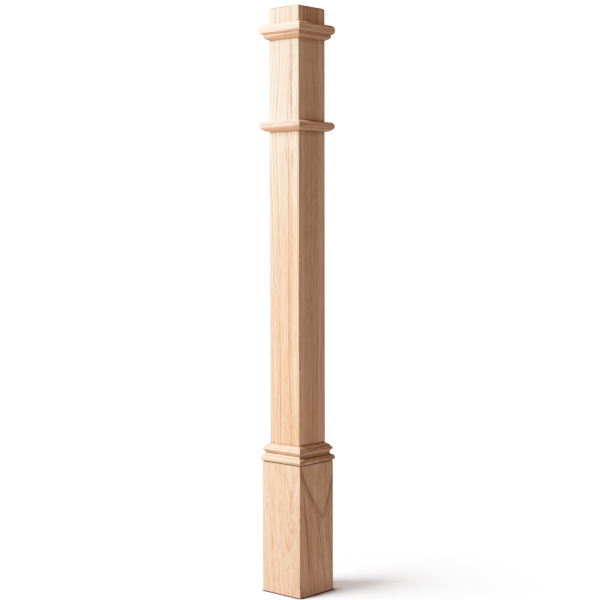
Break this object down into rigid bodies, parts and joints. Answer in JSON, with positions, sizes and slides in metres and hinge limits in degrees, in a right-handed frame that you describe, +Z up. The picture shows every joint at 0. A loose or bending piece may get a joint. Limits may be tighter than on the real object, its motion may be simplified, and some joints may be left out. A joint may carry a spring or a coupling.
{
  "type": "newel post",
  "caption": "Square box newel post in plain oak: a straight shaft with a mitred base and mitred moulding rings, which ends a stair's handrail and carries it.",
  "frame": {"origin": "middle of the post's underside", "axes": "+Z up the post; -Y is the front face and +X the right-hand face, square to the sides of the shaft"},
  "size_m": [0.1222, 0.1222, 1.321],
  "materials": {
    "shaft_oak": "bare sanded oak, straight grain along the post, matt",
    "base_board_oak": "bare sanded oak, plain-sawn with arched grain, matt",
    "moulding_oak": "bare sanded oak, grain along each mitred length, matt"
  },
  "bodies": {
    "root": {"shaft": "shaft_oak", "base_board_front": "base_board_oak", "base_board_right": "base_board_oak", "base_board_back": "base_board_oak", "base_board_left": "base_board_oak", "base_moulding_front": "moulding_oak", "base_moulding_right": "moulding_oak", "base_moulding_back": "moulding_oak", "base_moulding_left": "moulding_oak", "middle_collar_front": "moulding_oak", "middle_collar_right": "moulding_oak", "middle_collar_back": "moulding_oak", "middle_collar_left": "moulding_oak", "top_collar_front": "moulding_oak", "top_collar_right": "moulding_oak", "top_collar_back": "moulding_oak", "top_collar_left": "moulding_oak"}
  },
  "joints": []
}
